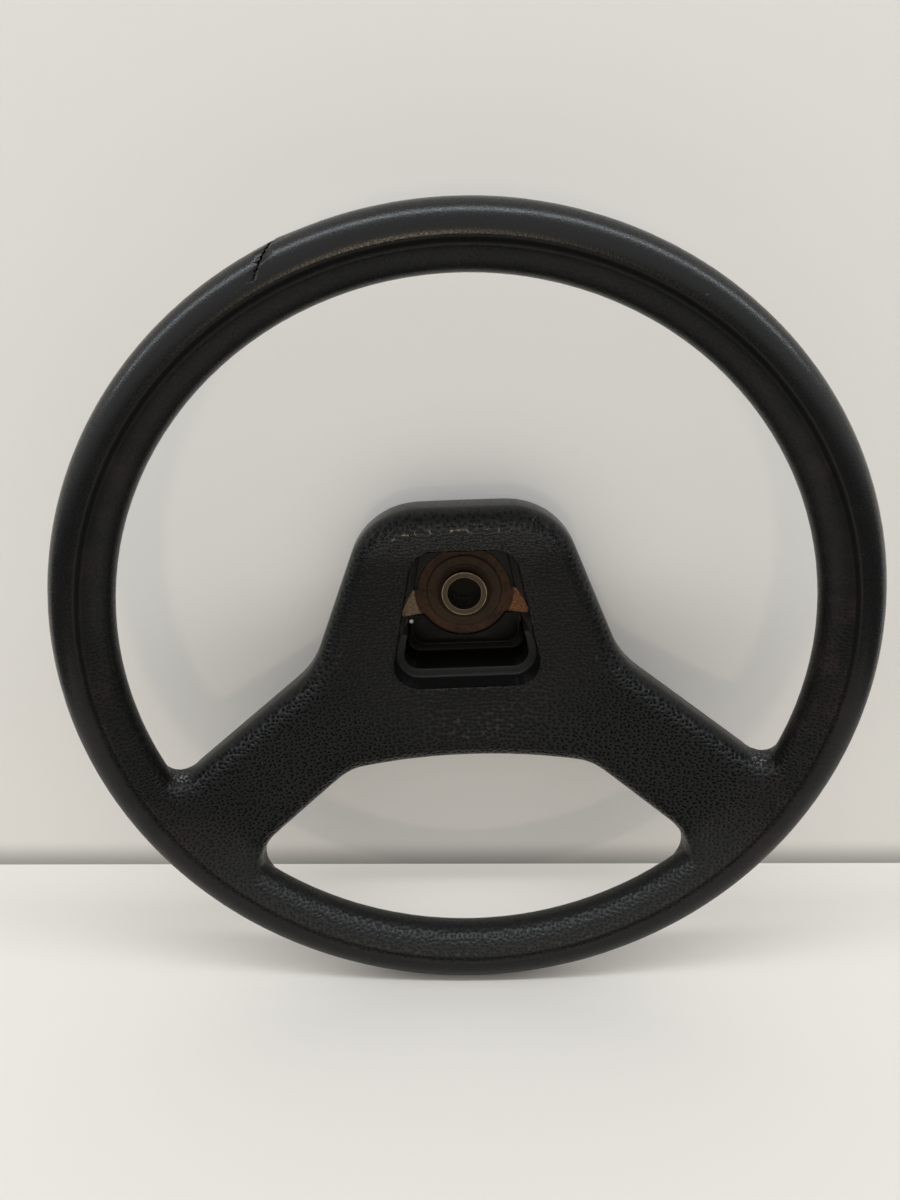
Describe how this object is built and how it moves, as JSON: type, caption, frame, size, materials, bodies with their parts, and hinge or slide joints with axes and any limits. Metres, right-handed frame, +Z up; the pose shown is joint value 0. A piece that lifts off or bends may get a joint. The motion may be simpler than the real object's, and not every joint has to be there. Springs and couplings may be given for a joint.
{
  "type": "car steering wheel",
  "caption": "Dished car steering wheel of grained black foam over a steel frame: round grip, slanted spokes, trapezoid hub recess and a splined boss for the column; centre pad missing.",
  "frame": {"origin": "centre of the column bore in the plane of the nut seat", "axes": "+Y along the column, away from the driver; +Z up with the wheel set straight ahead; +X to the driver's right"},
  "size_m": [0.38, 0.0988, 0.38],
  "materials": {
    "skin_foam": "matte leather-grain skin, dusty, with worn pale edges",
    "hoop_steel": "bare drawn rod, sealed in the foam",
    "pressed_steel": "pressed sheet with brown and orange rust",
    "boss_steel": "turned steel, bright where the nut rubbed, rusty brown elsewhere",
    "nylon": "plain natural moulding"
  },
  "bodies": {
    "root": {"moulded_cover": "skin_foam", "rim_hoop": "hoop_steel", "arm_spider": "pressed_steel", "hub_boss": "boss_steel", "cancel_ring": "nylon"}
  },
  "joints": []
}
